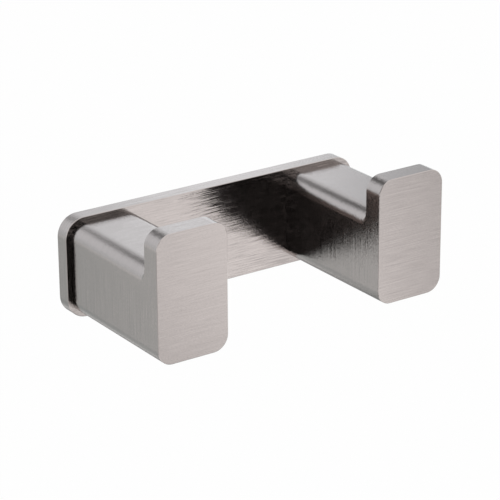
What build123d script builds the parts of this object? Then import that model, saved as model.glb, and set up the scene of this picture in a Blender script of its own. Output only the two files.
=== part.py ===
"""A double robe hook: a hollow cover plate that hangs on a wall bracket and carries two cast hooks.

Sizes are in millimetres. +Z is up, X runs along the plate, and the front faces -Y. The origin is on
the wall, behind the middle of the plate.
"""

from build123d import *
from math import radians, tan
import os

# Cover plate
plate_width = 110.0
plate_height = 33.3
plate_depth = 5.0
plate_corner_radius = 6.75
plate_skin = 1.4
plate_rim = 3.0
edge_break = 0.15

# Hooks
hook_margin = 1.65
hook_width = 25.0
hook_projection = 55.0
lip_thickness = 6.8
lip_rise = 11.6
lip_fillet = 1.8
hook_wall = 2.8
core_depth = 38.0
core_corner_radius = 2.0
boss_radius = 4.0
boss_length = 10.0
boss_overlap = 0.8

# Hook screws, driven from behind the plate
screw_radius = 2.0
screw_length = 8.0
screw_head_radius = 3.8
screw_head_height = 1.8
screw_hole_clearance = 0.25
thread_clearance = 0.05
thread_run_out = 1.2
cross_length = 4.2
cross_width = 0.9
cross_depth = 1.0

# Wall bracket, a pressed strip
bracket_width = 48.0
bracket_thickness = 1.2
bracket_corner_radius = 2.0
bracket_bend_radius = 1.0
bracket_flange_height = 1.65
bracket_joggle_angle = 45.0
slot_spacing = 28.0
slot_length = 9.0
slot_width = 4.6

# Ledge inside the plate that hooks behind the bracket's upper edge
ledge_drop = 1.6
ledge_overhang = 2.5
ledge_clearance = 0.15

# Grub screws that lock the plate to the bracket
grub_radius = 1.5
grub_length = 4.0
grub_spacing = 30.0
grub_recess = 0.3
grub_cone = 0.8
socket_width = 1.5
socket_depth = 1.7

# A cut runs on past the surface that it starts from, and a joined piece into the body that carries it
overrun = 0.5

# Sizes that follow
arm_height = plate_height - 2 * hook_margin
arm_corner_radius = plate_corner_radius - hook_margin
hook_offset = plate_width / 2 - hook_margin - hook_width / 2
lip_back = hook_projection - lip_thickness
recess_depth = plate_depth - plate_skin
recess_height = plate_height - 2 * plate_rim
hook_screw_offset = arm_height / 2 - hook_wall - boss_radius + boss_overlap
clearance_hole_radius = screw_radius + screw_hole_clearance
tapped_hole_radius = screw_radius + thread_clearance
tapped_hole_depth = screw_length - plate_skin + thread_run_out
grub_hole_radius = grub_radius + thread_clearance
grub_bottom = -plate_height / 2 + grub_recess
grub_tip = grub_bottom + grub_length
flange_depth = plate_depth / 2
ledge_depth = flange_depth - bracket_thickness / 2 - ledge_clearance


def block(width, height, radius, start, length, x=0, z=0):
    """A bar with rounded corners that stands out from the wall, from depth start on."""
    outline = Pos(x, z) * RectangleRounded(width, height, radius)
    return extrude(Plane.XZ.offset(start) * outline, length)


def rod(radius, start, length, x=0, z=0):
    """A round bar that stands out from the wall, from depth start on."""
    return extrude(Plane.XZ.offset(start) * Pos(x, z) * Circle(radius), length)


def front_edges(solid):
    return solid.faces().sort_by(Axis.Y)[0].edges()


def back_edges(solid):
    return solid.faces().sort_by(Axis.Y)[-1].edges()


def screw_places(x):
    return [(x, -hook_screw_offset), (x, hook_screw_offset)]


def cover_plate():
    plate = block(plate_width, plate_height, plate_corner_radius, 0, plate_depth)
    plate = chamfer(front_edges(plate), edge_break)
    plate -= block(
        plate_width - 2 * plate_rim,
        recess_height,
        plate_corner_radius - plate_rim,
        -overrun,
        recess_depth + overrun,
    )
    ledge = Rectangle(bracket_width + 2 * ledge_overhang, ledge_drop + overrun)
    ledge_middle = recess_height / 2 - (ledge_drop - overrun) / 2
    plate += extrude(Plane.XZ * Pos(0, ledge_middle) * ledge, ledge_depth)
    for side in (-1, 1):
        for x, z in screw_places(side * hook_offset):
            plate -= rod(clearance_hole_radius, recess_depth - overrun, plate_skin + 2 * overrun, x, z)
        hole = Pos(side * grub_spacing / 2, -flange_depth) * Circle(grub_hole_radius)
        hole_length = grub_recess + grub_length + 2 * overrun
        plate -= extrude(Plane.XY.offset(-plate_height / 2 - overrun) * hole, hole_length)
    return plate


def lip_corner(x):
    """The hollow curve between the arm's top and the lip, carried round the arm's rounded edges.

    Its section is sunk into the arm below it and into the lip in front of it.
    """
    root = -lip_back
    top = arm_height / 2
    flat = hook_width - 2 * arm_corner_radius
    with BuildLine() as outline:
        Polyline(
            (root + lip_fillet, top),
            (root + lip_fillet, top - overrun),
            (root - lip_thickness / 2, top - overrun),
            (root - lip_thickness / 2, top + lip_fillet),
            (root, top + lip_fillet),
        )
        RadiusArc((root, top + lip_fillet), (root + lip_fillet, top), -lip_fillet)
    section = make_face(outline.line)
    middle = extrude(Plane.YZ.offset(x - flat / 2) * section, flat)
    ends = []
    for side in (-1, 1):
        turned = Plane.YZ.offset(x + side * flat / 2) * section
        pivot = Axis((x + side * flat / 2, 0, top - arm_corner_radius), (0, side, 0))
        ends.append(revolve(turned, pivot, 90))
    limit = Pos(x, root, top) * Box(hook_width, 2 * lip_thickness, 2 * arm_height)
    return middle + [limit & end for end in ends]


def hook(x):
    """One casting. The arm runs on into the lip, so that only the lip's free edges stay broken."""
    arm_length = lip_back + lip_thickness / 2 - plate_depth
    arm = block(hook_width, arm_height, arm_corner_radius, plate_depth, arm_length, x)
    lip_height = arm_height + lip_rise
    lip = block(hook_width, lip_height, arm_corner_radius, lip_back, lip_thickness, x, lip_rise / 2)
    lip = chamfer(front_edges(lip) + back_edges(lip), edge_break)
    casting = arm + lip + lip_corner(x)
    casting -= block(
        hook_width - 2 * hook_wall,
        arm_height - 2 * hook_wall,
        core_corner_radius,
        plate_depth - overrun,
        core_depth + overrun,
        x,
    )
    bosses = [rod(boss_radius, plate_depth, boss_length, x, z) for x, z in screw_places(x)]
    casting += bosses
    for x, z in screw_places(x):
        casting -= rod(tapped_hole_radius, plate_depth - overrun, tapped_hole_depth + overrun, x, z)
    return casting


def hook_screw(x, z):
    """A low-headed screw whose head bears on the back of the plate's skin."""
    seat = recess_depth
    head_back = seat - screw_head_height
    head = rod(screw_head_radius, head_back, screw_head_height, x, z)
    shank = rod(screw_radius, seat - overrun, screw_length + overrun, x, z)
    cross = Rectangle(cross_length, cross_width) + Rectangle(cross_width, cross_length)
    recess = extrude(Plane.XZ.offset(head_back - overrun) * Pos(x, z) * cross, cross_depth + overrun)
    return head + shank - recess


def wall_bracket():
    """A flat strip whose upper and lower edges are set forward, clear of the wall.

    The upper edge carries the plate's recess and the grub screws bear on the lower one.
    """
    wall_line = -bracket_thickness / 2
    set_forward = flange_depth - bracket_thickness / 2
    slope = set_forward / tan(radians(bracket_joggle_angle))
    bend = -grub_tip - bracket_flange_height - slope
    path = FilletPolyline(
        (-flange_depth, recess_height / 2),
        (-flange_depth, bend + slope),
        (wall_line, bend),
        (wall_line, -bend),
        (-flange_depth, -bend - slope),
        (-flange_depth, grub_tip),
        radius=bracket_bend_radius,
    )
    strip = extrude(Plane.YZ.offset(-bracket_width / 2) * trace(path, bracket_thickness), bracket_width)
    middle = (recess_height / 2 + grub_tip) / 2
    outline = block(
        bracket_width,
        recess_height / 2 - grub_tip,
        bracket_corner_radius,
        -overrun,
        plate_depth + overrun,
        z=middle,
    )
    strip = strip & outline
    for side in (-1, 1):
        slot = Pos(side * slot_spacing / 2, 0) * SlotOverall(slot_length, slot_width)
        strip -= extrude(Plane.XZ.offset(-overrun) * slot, bracket_thickness + 2 * overrun)
    return strip


def grub_screw(x):
    """A headless screw with a hexagon socket below and a blunt cone that bears on the bracket."""
    base = Plane.XY.offset(grub_bottom)
    screw = extrude(base * Pos(x, -flange_depth) * Circle(grub_radius), grub_length)
    screw = chamfer(screw.faces().sort_by(Axis.Z)[-1].edges(), grub_cone)
    socket = Pos(x, -flange_depth) * RegularPolygon(socket_width / 2, 6, major_radius=False)
    return screw - extrude(base * socket, socket_depth)


pieces = {
    "cover_plate": cover_plate(),
    "left_hook": hook(-hook_offset),
    "right_hook": hook(hook_offset),
    "wall_bracket": wall_bracket(),
    "left_grub_screw": grub_screw(-grub_spacing / 2),
    "right_grub_screw": grub_screw(grub_spacing / 2),
}
for side_name, side in (("left", -1), ("right", 1)):
    for level, place in zip(("lower", "upper"), screw_places(side * hook_offset)):
        pieces[f"{side_name}_hook_{level}_screw"] = hook_screw(*place)

os.makedirs("parts", exist_ok=True)
for name, piece in pieces.items():
    export_step(piece, f"parts/{name}.step")
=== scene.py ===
"""The looks of the double robe hook: brushed nickel plate and hooks, zinc-plated bracket and screws.

Lengths are in metres, in the part's own frame: +Z up, X along the plate, the front facing -Y, and the
origin on the wall behind the middle of the plate.
"""

import bmesh
import bpy
from math import atan2, pi, radians, tan
from mathutils import Matrix, Vector


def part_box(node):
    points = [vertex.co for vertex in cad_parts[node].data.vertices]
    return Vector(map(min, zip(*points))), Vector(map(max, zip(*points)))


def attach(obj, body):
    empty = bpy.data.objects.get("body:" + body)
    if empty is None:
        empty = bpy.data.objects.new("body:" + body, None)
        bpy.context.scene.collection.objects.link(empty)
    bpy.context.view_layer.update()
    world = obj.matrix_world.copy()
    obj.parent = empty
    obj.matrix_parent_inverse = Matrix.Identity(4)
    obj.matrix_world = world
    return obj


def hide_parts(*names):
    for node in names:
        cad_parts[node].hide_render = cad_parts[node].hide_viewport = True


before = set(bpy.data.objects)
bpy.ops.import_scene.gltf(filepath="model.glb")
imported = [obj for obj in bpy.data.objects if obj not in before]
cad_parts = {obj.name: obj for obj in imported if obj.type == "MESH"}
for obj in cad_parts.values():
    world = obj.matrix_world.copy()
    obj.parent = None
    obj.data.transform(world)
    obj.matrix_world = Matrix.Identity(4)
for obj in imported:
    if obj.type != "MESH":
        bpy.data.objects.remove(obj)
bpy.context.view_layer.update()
mm = 0.001

# Sizes of the part that the brushing follows
plate_radius = 6.75 * mm
hook_radius = 5.1 * mm
lip_back = -48.2 * mm
arm_height = 30.0 * mm

# The UV map that holds each corner's place along and across the brushing
brush_map = "brush"

# A face counts as a front or back one where its normal has more than this share along Y
front_facing = 0.8

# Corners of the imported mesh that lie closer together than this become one
weld_distance = 0.001 * mm

# A corner sharper than this stays a corner, so that the broken edges show as flat bright lines. The
# Weighted Normal modifier's highest weight lets the largest faces alone set the shading beside them
corner_angle = radians(30)
largest_faces_only = 100

# The screws' metric threads: crest radius and pitch, how far the thread stays clear of the tip and of
# the other end, and the turn about X that points +Z from the head or socket to the tip
hook_thread = {"crest": 2.0 * mm, "pitch": 0.7 * mm, "clear": (0.35 * mm, 2.2 * mm), "turn": pi / 2}
grub_thread = {"crest": 1.5 * mm, "pitch": 0.5 * mm, "clear": (1.05 * mm, 0.25 * mm), "turn": 0.0}

# How far the core lies inside the crest, in pitches, and the steps that one turn is drawn in
core_depth = 0.55
thread_steps = 24

# Each end of a thread runs out over these turns, to this share of its section
run_out_turns = 0.5
run_out_share = 0.1

# A mesh corner lies on the shank where its distance from the axis is the crest radius, within this
shank_tolerance = 0.05 * mm

# Nearly all of a noise pattern's values lie between these, about its middle
noise_low, noise_middle, noise_high = 0.3, 0.5, 0.7

white = "#ffffff"


def linear(hex_colour):
    """An sRGB hex colour as linear RGBA."""
    channels = [int(hex_colour[i:i + 2], 16) / 255 for i in (1, 3, 5)]
    return [c / 12.92 if c <= 0.04045 else ((c + 0.055) / 1.055) ** 2.4 for c in channels] + [1.0]


def add(tree, kind, inputs=None, **settings):
    """Adds one node. inputs gives each socket its value, or the output that is linked to it."""
    node = tree.nodes.new(kind)
    for name, value in settings.items():
        setattr(node, name, value)
    for socket, value in (inputs or {}).items():
        if isinstance(value, bpy.types.NodeSocket):
            tree.links.new(value, node.inputs[socket])
        else:
            node.inputs[socket].default_value = value
    return node


def new_material(name):
    """A material with an empty node tree."""
    material = bpy.data.materials.new(name)
    material.use_nodes = True
    material.node_tree.nodes.clear()
    return material, material.node_tree


def brushed_nickel(name, coarse_lean, fine_lean, side_gain):
    """Cast zinc, nickel plated and brushed on a belt: a warm grey metal with fine grooves one way.

    Each groove leans the surface a little, along the brushing and across it. That softens what the
    metal mirrors and frays the edge of each reflection into short straight streaks. coarse_lean and
    fine_lean are the lean along the brushing. side_gain is how many times more of it the sides have
    than the front and the back, because the belt wraps round them.
    """
    darker, lighter = "#b8b0ad", "#cac2bf"
    smoothest, roughest = 0.11, 0.14
    # The share of a normal along Y up to which a face is a side, and from which it is a front or back
    side_ends, front_starts = 0.7, 0.9
    material, tree = new_material(name)
    along_brush = add(tree, "ShaderNodeUVMap", uv_map=brush_map).outputs[0]
    # Length and spacing in mm. The tone's streaks are a little lighter or darker, and rougher or
    # smoother. The fine grooves are a real belt's. The coarse ones stand for the deeper grooves among
    # them, drawn a few times wider so that they show in the picture
    grooves = {"tone": (25.0, 0.2), "coarse": (9.0, 0.25), "fine": (0.6, 0.05)}
    # How far each kind leans the surface along the brushing and across it
    lean = {"coarse": (coarse_lean, 0.012), "fine": (fine_lean, 0.22)}
    patterns = {}
    leans = []
    for kind, (length, spacing) in grooves.items():
        scaled = add(tree, "ShaderNodeMapping", {
            "Vector": along_brush,
            "Scale": (1 / (length * mm), 1 / (spacing * mm), 1.0),
        })
        patterns[kind] = add(tree, "ShaderNodeTexNoise", {
            "Vector": scaled.outputs[0],
            "Scale": 1.0,
            "Detail": 1.0,
        }, noise_dimensions="2D")
    for kind, amounts in lean.items():
        centred = add(tree, "ShaderNodeVectorMath", {
            0: patterns[kind].outputs["Color"],
            1: (noise_middle, noise_middle, noise_middle),
        }, operation="SUBTRACT")
        leans.append(add(tree, "ShaderNodeVectorMath", {
            0: centred.outputs[0],
            1: (0.0, *amounts),
        }, operation="MULTIPLY").outputs[0])
    both = add(tree, "ShaderNodeVectorMath", {0: leans[0], 1: leans[1]}, operation="ADD")
    parts = add(tree, "ShaderNodeSeparateXYZ", {0: both.outputs[0]}).outputs
    level = add(tree, "ShaderNodeNewGeometry").outputs["Normal"]
    along = add(tree, "ShaderNodeTangent", direction_type="UV_MAP", uv_map=brush_map).outputs[0]
    across = add(tree, "ShaderNodeVectorMath", {
        0: level,
        1: along,
    }, operation="CROSS_PRODUCT").outputs[0]
    normal_y = add(tree, "ShaderNodeSeparateXYZ", {
        0: add(tree, "ShaderNodeTexCoord").outputs["Normal"],
    }).outputs["Y"]
    facing_front = add(tree, "ShaderNodeMath", {0: normal_y}, operation="ABSOLUTE").outputs[0]
    gain = add(tree, "ShaderNodeMapRange", {
        "Value": facing_front,
        "From Min": side_ends,
        "From Max": front_starts,
        "To Min": side_gain,
        "To Max": 1.0,
    }).outputs[0]
    along_lean = add(tree, "ShaderNodeMath", {0: parts["Y"], 1: gain}, operation="MULTIPLY").outputs[0]
    leaning = level
    for direction, amount in ((along, along_lean), (across, parts["Z"])):
        leaning = add(tree, "ShaderNodeVectorMath", {
            0: direction,
            1: amount,
            2: leaning,
        }, operation="MULTIPLY_ADD").outputs[0]
    leaning = add(tree, "ShaderNodeVectorMath", {0: leaning}, operation="NORMALIZE").outputs[0]
    colour = add(tree, "ShaderNodeMix", {
        "Factor": patterns["tone"].outputs[0],
        "A": linear(darker),
        "B": linear(lighter),
    }, data_type="RGBA")
    roughness = add(tree, "ShaderNodeMapRange", {
        "Value": patterns["tone"].outputs[0],
        "From Min": noise_low,
        "From Max": noise_high,
        "To Min": smoothest,
        "To Max": roughest,
    })
    # A quarter turn lays the stretched highlight across the grooves, as fine parallel grooves do
    metal = add(tree, "ShaderNodeBsdfPrincipled", {
        "Base Color": colour.outputs["Result"],
        "Metallic": 1.0,
        "Roughness": roughness.outputs[0],
        "Anisotropic": 0.5,
        "Anisotropic Rotation": 0.25,
        "Normal": leaning,
        "Tangent": along,
    })
    add(tree, "ShaderNodeOutputMaterial", {"Surface": metal.outputs[0]})
    return material


def zinc_plated_steel():
    """Pressed steel with a bright zinc plating: a cool grey with a faint cloudy bloom."""
    darker, lighter = "#b4b9bd", "#cfd2d3"
    smoothest, roughest = 0.28, 0.42
    # The plating's clouds are 2 to 3 mm across, and the rolled sheet's grain about 0.2 mm
    cloud_size, grain_size = 2.5 * mm, 0.2 * mm
    grain_depth = 0.004 * mm
    material, tree = new_material("steel_bright_zinc_plated")
    place = add(tree, "ShaderNodeTexCoord").outputs["Object"]
    clouds = add(tree, "ShaderNodeTexNoise", {"Vector": place, "Scale": 1 / cloud_size, "Detail": 3.0})
    grain = add(tree, "ShaderNodeTexNoise", {"Vector": place, "Scale": 1 / grain_size, "Detail": 1.0})
    colour = add(tree, "ShaderNodeMix", {
        "Factor": clouds.outputs[0],
        "A": linear(darker),
        "B": linear(lighter),
    }, data_type="RGBA")
    roughness = add(tree, "ShaderNodeMapRange", {
        "Value": clouds.outputs[0],
        "From Min": noise_low,
        "From Max": noise_high,
        "To Min": smoothest,
        "To Max": roughest,
    })
    bump = add(tree, "ShaderNodeBump", {
        "Height": grain.outputs[0],
        "Strength": 1.0,
        "Distance": grain_depth,
    })
    metal = add(tree, "ShaderNodeBsdfPrincipled", {
        "Base Color": colour.outputs["Result"],
        "Metallic": 1.0,
        "Roughness": roughness.outputs[0],
        "Normal": bump.outputs[0],
    })
    add(tree, "ShaderNodeOutputMaterial", {"Surface": metal.outputs[0]})
    return material


def round_outline(x, z, half_width, half_height, radius):
    """How far (x, z) lies round a rounded rectangle, and the whole way round.

    The way starts at the left end of the flat bottom and runs to the right.
    """
    flat_x, flat_z, corner = half_width - radius, half_height - radius, pi / 2 * radius
    quarter = flat_x + corner + flat_z
    if abs(x) <= flat_x:
        from_bottom = abs(x)
    elif abs(z) <= flat_z:
        from_bottom = quarter - abs(z)
    else:
        from_bottom = flat_x + radius * atan2(abs(x) - flat_x, abs(z) - flat_z)
    if z > 0:
        from_bottom = 2 * quarter - from_bottom
    if x < 0:
        from_bottom = 4 * quarter - from_bottom
    return (from_bottom + flat_x) % (4 * quarter), 4 * quarter


def brush_coordinates(face, outline):
    """Each corner's place along and across the brushing.

    The brushing runs along X on faces to the front or back, and round the outline on all others.
    """
    if abs(face.normal.y) > front_facing:
        return [(v.co.x, v.co.z) for v in face.verts]
    middle_x, middle_z, half_width, half_height, radius = outline(face)
    found = [
        round_outline(v.co.x - middle_x, v.co.z - middle_z, half_width, half_height, radius)
        for v in face.verts
    ]
    whole = found[0][1]
    places = [place for place, _ in found]
    if max(places) - min(places) > whole / 2:
        places = [place + whole if place < whole / 2 else place for place in places]
    return [(place, v.co.y) for place, v in zip(places, face.verts)]


def box_outline(low, high, radius):
    """The outline of a box with rounded corners, seen from the front: middle, half sizes and radius."""
    middle = (low + high) / 2
    return middle.x, middle.z, (high.x - low.x) / 2, (high.z - low.z) / 2, radius


def plate_outline():
    """A function that gives the outline which a face of the plate lies on."""
    whole = box_outline(*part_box("cover_plate"), plate_radius)
    return lambda face: whole


def hook_outline(node):
    """A function that gives the outline which a face of a hook lies on, the arm's or the lip's."""
    low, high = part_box(node)
    arm = box_outline(low, Vector((high.x, high.y, low.z + arm_height)), hook_radius)
    lip = box_outline(low, high, hook_radius)
    return lambda face: lip if face.calc_center_median().y < lip_back else arm


def thread_tree():
    """Winds a thread round a screw's core: a square that stands on its corner, swept along a helix.

    The ridges meet at their feet. The tree comes with the identifiers of its inputs.
    """
    section_corners = 4
    tree = bpy.data.node_groups.new("screw_thread", "GeometryNodeTree")
    kinds = {
        "Core": "NodeSocketGeometry",
        "Crest radius": "NodeSocketFloat",
        "Pitch": "NodeSocketFloat",
        "Length": "NodeSocketFloat",
        "Start": "NodeSocketVector",
        "Turn": "NodeSocketRotation",
        "Metal": "NodeSocketMaterial",
    }
    sockets = {
        name: tree.interface.new_socket(name, in_out="INPUT", socket_type=kind).identifier
        for name, kind in kinds.items()
    }
    tree.interface.new_socket("Screw", in_out="OUTPUT", socket_type="NodeSocketGeometry")
    given = add(tree, "NodeGroupInput").outputs
    half = add(tree, "ShaderNodeMath", {0: given["Pitch"], 1: 0.5}, operation="MULTIPLY").outputs[0]
    radius = add(tree, "ShaderNodeMath", {
        0: given["Crest radius"],
        1: half,
    }, operation="SUBTRACT").outputs[0]
    turns = add(tree, "ShaderNodeMath", {
        0: given["Length"],
        1: given["Pitch"],
    }, operation="DIVIDE").outputs[0]
    helix = add(tree, "GeometryNodeCurveSpiral", {
        "Resolution": thread_steps,
        "Rotations": turns,
        "Start Radius": radius,
        "End Radius": radius,
        "Height": given["Length"],
        "Reverse": True,
    })
    upright = add(tree, "GeometryNodeSetCurveNormal", {"Curve": helix.outputs[0]}, mode="Z_UP")
    section = add(tree, "GeometryNodeCurvePrimitiveCircle", {
        "Resolution": section_corners,
        "Radius": half,
    }, mode="RADIUS")
    size = add(tree, "GeometryNodeSplineParameter").outputs["Factor"]
    to_end = add(tree, "ShaderNodeMath", {0: 1.0, 1: size}, operation="SUBTRACT").outputs[0]
    # From the share of the way along to the share of the full section, which falls off at both ends
    for operation, other in (
        ("MINIMUM", to_end),
        ("MULTIPLY", turns),
        ("DIVIDE", run_out_turns),
        ("MAXIMUM", run_out_share),
        ("MINIMUM", 1.0),
    ):
        size = add(tree, "ShaderNodeMath", {0: size, 1: other}, operation=operation).outputs[0]
    ridge = add(tree, "GeometryNodeCurveToMesh", {
        "Curve": upright.outputs[0],
        "Profile Curve": section.outputs[0],
        "Scale": size,
        "Fill Caps": True,
    })
    placed = add(tree, "GeometryNodeTransform", {
        "Geometry": ridge.outputs[0],
        "Translation": given["Start"],
        "Rotation": given["Turn"],
    })
    joined = add(tree, "GeometryNodeJoinGeometry")
    for part in (placed.outputs[0], given["Core"]):
        tree.links.new(part, joined.inputs[0])
    real = add(tree, "GeometryNodeRealizeInstances", {0: joined.outputs[0]})
    plated = add(tree, "GeometryNodeSetMaterial", {
        "Geometry": real.outputs[0],
        "Material": given["Metal"],
    })
    add(tree, "NodeGroupOutput", {0: plated.outputs[0]})
    return tree, sockets


def wind_thread(piece, low, high, material, crest, pitch, clear, turn):
    """Draws a screw's shank in to the thread's core, then winds the thread on it."""
    axis = Matrix.Rotation(turn, 3, "X") @ Vector((0, 0, 1))
    reach = abs((high - low).dot(axis))
    foot = (low + high) / 2 - axis * reach / 2
    for vertex in piece.data.vertices:
        offset = vertex.co - foot
        outward = offset - axis * offset.dot(axis)
        if abs(outward.length - crest) < shank_tolerance:
            vertex.co -= outward.normalized() * core_depth * pitch
    tip_clear, head_clear = clear
    thread = piece.modifiers.new("thread", "NODES")
    thread.node_group = screw_thread
    inputs = {
        "Crest radius": crest,
        "Pitch": pitch,
        "Length": reach - tip_clear - head_clear,
        "Start": foot + axis * head_clear,
        "Turn": (turn, 0, 0),
        "Metal": material,
    }
    for name, value in inputs.items():
        thread[thread_inputs[name]] = value
    evaluated = piece.evaluated_get(bpy.context.evaluated_depsgraph_get())
    piece.data = bpy.data.meshes.new_from_object(evaluated)
    piece.modifiers.remove(thread)
    piece.data.materials.clear()
    piece.data.materials.append(material)
    work = bmesh.new()
    work.from_mesh(piece.data)
    bmesh.ops.recalc_face_normals(work, faces=work.faces)
    work.to_mesh(piece.data)
    work.free()
    piece.data.shade_smooth()


def dress(node, name, material, outline=None, thread=None):
    """Puts a welded, smoothly shaded copy of a CAD node in its place."""
    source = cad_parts[node].data
    mesh = bpy.data.meshes.new(name)
    mesh.from_pydata([v.co for v in source.vertices], [], [p.vertices for p in source.polygons])
    work = bmesh.new()
    work.from_mesh(mesh)
    bmesh.ops.remove_doubles(work, verts=work.verts, dist=weld_distance)
    work.normal_update()
    if outline:
        layer = work.loops.layers.uv.new(brush_map)
        for face in work.faces:
            for loop, place in zip(face.loops, brush_coordinates(face, outline)):
                loop[layer].uv = place
    for face in work.faces:
        face.smooth = True
    work.to_mesh(mesh)
    work.free()
    mesh.materials.append(material)
    piece = bpy.data.objects.new(name, mesh)
    bpy.context.scene.collection.objects.link(piece)
    if thread:
        wind_thread(piece, *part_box(node), material, **thread)
    piece.data.set_sharp_from_angle(angle=corner_angle)
    even = piece.modifiers.new("even_shading", "WEIGHTED_NORMAL")
    even.keep_sharp = True
    even.weight = largest_faces_only
    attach(piece, "root")
    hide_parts(node)


screw_thread, thread_inputs = thread_tree()
plate_nickel = brushed_nickel(
    "nickel_plate_brushed_on_coarse_belt",
    coarse_lean=0.2,
    fine_lean=0.15,
    side_gain=1.0,
)
hook_nickel = brushed_nickel(
    "nickel_plate_brushed_on_fine_belt",
    coarse_lean=0.06,
    fine_lean=0.13,
    side_gain=3.5,
)
zinc = zinc_plated_steel()
dress("cover_plate", "cover_plate_brushed", plate_nickel, plate_outline())
for side in ("left", "right"):
    hook = f"{side}_hook"
    dress(hook, f"{hook}_brushed", hook_nickel, hook_outline(hook))
    for screw, thread in (
        ("hook_upper_screw", hook_thread),
        ("hook_lower_screw", hook_thread),
        ("grub_screw", grub_thread),
    ):
        node = f"{side}_{screw}"
        dress(node, f"{node}_plated", zinc, thread=thread)
dress("wall_bracket", "wall_bracket_plated", zinc)


# Camera, solved from the photograph's corners. Its lens and sensor are in millimetres
camera_place = Vector((-385.4, -589.4, 267.6)) * mm
camera_yaw, camera_pitch, camera_roll = radians(34.344), radians(21.303), radians(-0.386)
camera_lens, camera_sensor = 167.05, 36.0
nearest_seen = 10 * mm
camera = bpy.data.objects.new("camera", bpy.data.cameras.new("camera"))
bpy.context.scene.collection.objects.link(camera)
camera.matrix_world = (
    Matrix.Translation(camera_place)
    @ Matrix.Rotation(-camera_yaw, 4, "Z")
    @ Matrix.Rotation(pi / 2 - camera_pitch, 4, "X")
    @ Matrix.Rotation(camera_roll, 4, "Z")
)
camera.data.sensor_width = camera_sensor
camera.data.lens = camera_lens
camera.data.clip_start = nearest_seen
bpy.context.scene.camera = camera
bpy.context.scene.view_settings.view_transform = "Standard"


# The studio

# A strength of 1 shows as white. The camera and the metal see the backdrop, and the room lights what
# is matt, which is only the floor's paint
room_level, backdrop_level = 0.8, 1.0

# The floor shows this much of the backdrop's white to what sees it directly, and the rest is paint
floor_glow = 0.97
floor_size = 24.0

# Such a hook hangs about 1.6 m above the floor
floor_drop = -1600 * mm


def seen_directly(tree):
    """1 for what the camera sees, straight on, in a mirror or through glass, and 0 for other light."""
    path = add(tree, "ShaderNodeLightPath").outputs
    direct = path["Is Camera Ray"]
    for kind in ("Is Glossy Ray", "Is Transmission Ray"):
        direct = add(tree, "ShaderNodeMath", {0: direct, 1: path[kind]}, operation="MAXIMUM").outputs[0]
    return direct


world = bpy.data.worlds.new("studio")
world.use_nodes = True
bpy.context.scene.world = world
tree = world.node_tree
tree.nodes.clear()
room = add(tree, "ShaderNodeBackground", {"Color": linear(white), "Strength": room_level})
backdrop = add(tree, "ShaderNodeBackground", {"Color": linear(white), "Strength": backdrop_level})
mixed = add(tree, "ShaderNodeMixShader", {
    0: seen_directly(tree),
    1: room.outputs[0],
    2: backdrop.outputs[0],
})
add(tree, "ShaderNodeOutputWorld", {"Surface": mixed.outputs[0]})


def sheet(name, width, depth, material):
    """A flat rectangle of the studio about the origin, which isn't part of the object."""
    mesh = bpy.data.meshes.new(name)
    corners = [(-1, -1), (1, -1), (1, 1), (-1, 1)]
    mesh.from_pydata([(x * width / 2, y * depth / 2, 0) for x, y in corners], [], [(0, 1, 2, 3)])
    mesh.materials.append(material)
    made = bpy.data.objects.new(name, mesh)
    bpy.context.scene.collection.objects.link(made)
    return made


def floor_paint():
    """A matt off-white floor that shows the backdrop's white to whatever sees it directly."""
    material, tree = new_material("pale_floor")
    paint = add(tree, "ShaderNodeBsdfDiffuse", {"Color": linear("#f4f4f3")})
    glow = add(tree, "ShaderNodeEmission", {"Color": linear(white), "Strength": backdrop_level})
    share = add(tree, "ShaderNodeMath", {
        0: seen_directly(tree),
        1: floor_glow,
    }, operation="MULTIPLY")
    mixed = add(tree, "ShaderNodeMixShader", {
        0: share.outputs[0],
        1: paint.outputs[0],
        2: glow.outputs[0],
    })
    add(tree, "ShaderNodeOutputMaterial", {"Surface": mixed.outputs[0]})
    return material


floor = sheet("floor", floor_size, floor_size, floor_paint())
floor.location = (0, 0, floor_drop)


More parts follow.
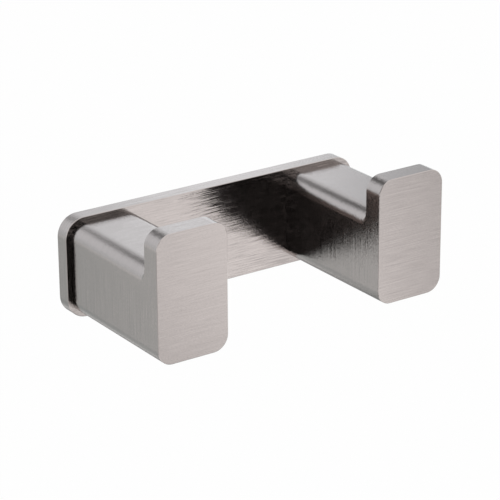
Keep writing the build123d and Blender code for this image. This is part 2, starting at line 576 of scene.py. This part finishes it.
def card(name, direction, half_size, fade, level, distance, hex_colour=white):
    """A reflector or flag with faded edges, seen only in the metal.

    Its direction and half size are angles in degrees from the origin, the compass one first: 0 is
    behind the part and 90 to its right. fade is the share of each half that fades out. level is its
    strength, and a nearer card covers a farther one.
    """
    compass, height_angle = direction
    material, tree = new_material(name)
    halves = [distance * tan(radians(angle)) for angle in half_size]
    place = add(tree, "ShaderNodeTexCoord").outputs["Object"]
    offset = add(tree, "ShaderNodeVectorMath", {0: place}, operation="ABSOLUTE")
    sides = add(tree, "ShaderNodeSeparateXYZ", {0: offset.outputs[0]})
    fades = [
        add(tree, "ShaderNodeMapRange", {
            "Value": side,
            "From Min": half,
            "From Max": half * (1 - share),
        }, interpolation_type="SMOOTHSTEP").outputs[0]
        for side, half, share in zip(sides.outputs, halves, fade)
    ]
    cover = add(tree, "ShaderNodeMath", {0: fades[0], 1: fades[1]}, operation="MULTIPLY")
    clear = add(tree, "ShaderNodeBsdfTransparent")
    glow = add(tree, "ShaderNodeEmission", {"Color": linear(hex_colour), "Strength": level})
    mixed = add(tree, "ShaderNodeMixShader", {
        0: cover.outputs[0],
        1: clear.outputs[0],
        2: glow.outputs[0],
    })
    add(tree, "ShaderNodeOutputMaterial", {"Surface": mixed.outputs[0]})
    made = sheet(name, 2 * halves[0], 2 * halves[1], material)
    made.matrix_world = (
        Matrix.Rotation(-radians(compass), 4, "Z")
        @ Matrix.Rotation(pi / 2 + radians(height_angle), 4, "X")
        @ Matrix.Translation((0, 0, -distance))
    )
    made.visible_camera = False
    made.visible_diffuse = False
    made.visible_shadow = False


# What the tops and the sides mirror lies behind, and most of it is a little cool. What the faces
# mirror lies in front. The black between the hooks is the dark flag, which the plate and a hook mirror
# in turn
cool_back, cool_low = "#f6fbff", "#f3ffff"
card("wash_behind", (-4, 24), (68, 39), (0.4, 0.35), 0.87, 980 * mm, cool_back)
card("grey_low_behind_left", (-19, -23), (36, 43), (1.0, 1.0), 0.38, 960 * mm, cool_low)
card("grey_low_behind_right", (25, -35), (20, 15), (0.5, 0.5), 0.38, 985 * mm)
card("spot_behind_right", (37, 17), (11, 18), (0.67, 0.92), 1.22, 740 * mm, cool_back)
card("dim_edge_behind_right", (58, 25.5), (27, 27), (0.9, 0.5), 0.47, 700 * mm, cool_back)
card("dark_gap_behind", (-8, 57.5), (29, 28.5), (1.0, 0.65), 0.1, 680 * mm)
card("dark_ground_behind", (-5, -71), (45, 28.5), (0.5, 0.5), 0.2, 380 * mm, cool_low)
card("dark_flag_front_left", (-151, -15), (18, 39), (0.15, 0.15), 0.004, 940 * mm)
card("dark_corner_front_left", (-159, 29), (15, 13), (0.2, 0.3), 0.0, 935 * mm)
card("grey_front_left", (-120, -22), (16, 22), (0.5, 0.5), 0.6, 955 * mm)
card("dark_front_above", (181, 26), (50, 22), (0.8, 0.4), 0.0, 970 * mm)
card("dim_horizon_front_right", (138, 0), (20, 14), (0.4, 0.4), 0.4, 740 * mm)
card("dim_ground_front", (150, -22), (42, 26), (0.4, 0.5), 0.62, 950 * mm)
card("spot_front_right", (149, -18.5), (14, 14), (1.0, 1.0), 1.18, 750 * mm)
card("spot_near_front_right", (147, -26), (7, 9), (1.0, 1.0), 1.35, 300 * mm)
